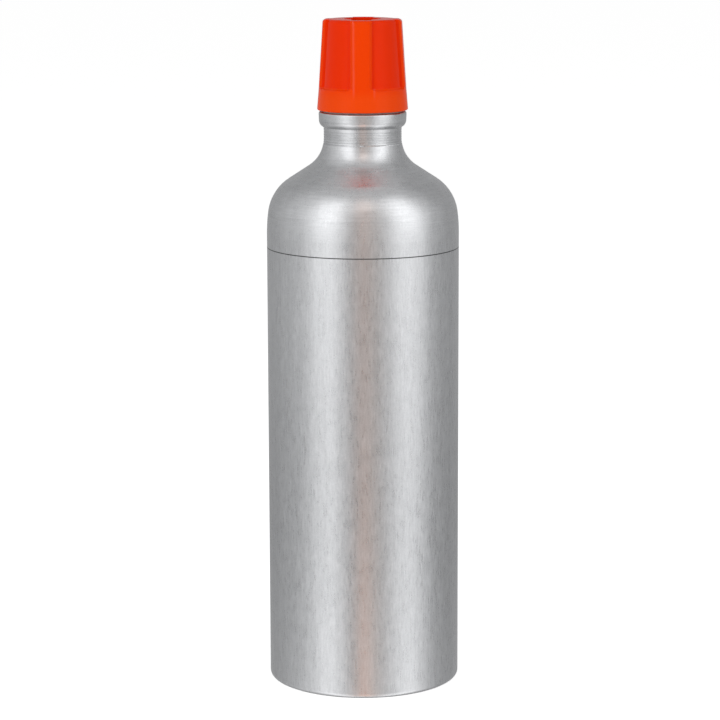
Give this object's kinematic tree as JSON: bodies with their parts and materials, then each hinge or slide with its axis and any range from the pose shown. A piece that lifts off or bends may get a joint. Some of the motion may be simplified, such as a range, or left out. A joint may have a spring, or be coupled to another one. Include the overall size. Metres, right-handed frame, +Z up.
{
  "type": "fuel bottle",
  "caption": "Aluminium camping fuel bottle with a tapered screw cap over a spring-closed pouring valve screwed into its neck.",
  "frame": {"origin": "centre of the base, on the ground", "axes": "+Z up along the bottle's axis, -Y towards the side that the picture shows"},
  "size_m": [0.08, 0.08, 0.2784],
  "materials": {
    "bottle_aluminium": "satin drawn",
    "cap_orange": "gloss moulded",
    "valve_black": "fine matte",
    "nozzle_white": "smooth natural",
    "seal_rubber": "matte",
    "spring_steel": "drawn wire",
    "screw_brass": "turned"
  },
  "bodies": {
    "bottle": {"bottle_shell": "bottle_aluminium"},
    "neck_seal": {"neck_gasket": "seal_rubber"},
    "valve": {"valve_body": "valve_black", "spring_cage": "valve_black", "return_spring": "spring_steel"},
    "nozzle": {"pour_nozzle": "nozzle_white", "nozzle_o_ring": "seal_rubber", "poppet_seal": "seal_rubber", "valve_poppet": "nozzle_white", "poppet_screw": "screw_brass"},
    "cap_seal": {"cap_gasket": "seal_rubber"},
    "cap": {"closure_cap": "cap_orange"}
  },
  "joints": [
    {"name": "valve_rise", "type": "slide", "parent": "bottle", "child": "neck_seal", "axis": [0, 0, 1], "range_m": [0, 0.0391]},
    {"name": "valve_turn", "type": "hinge", "parent": "neck_seal", "child": "valve", "pos_m": [0, 0, 0.24], "axis": [0, 0, 1], "range_deg": [0, 4680]},
    {"name": "nozzle_push", "type": "slide", "parent": "valve", "child": "nozzle", "axis": [0, 0, -1], "range_m": [0, 0.005], "stiffness_N_per_m": 600, "springref_m": -0.006, "deforming": ["return_spring"]},
    {"name": "cap_rise", "type": "slide", "parent": "valve", "child": "cap_seal", "axis": [0, 0, 1], "range_m": [0, 0.0241]},
    {"name": "cap_turn", "type": "hinge", "parent": "cap_seal", "child": "cap", "pos_m": [0, 0, 0.25], "axis": [0, 0, 1], "range_deg": [0, 2160]}
  ],
  "couplings": [
    {"joint": "valve_rise", "follows": "valve_turn", "m_per_rad": 0.00047746},
    {"joint": "cap_rise", "follows": "cap_turn", "m_per_rad": 0.00063662}
  ]
}
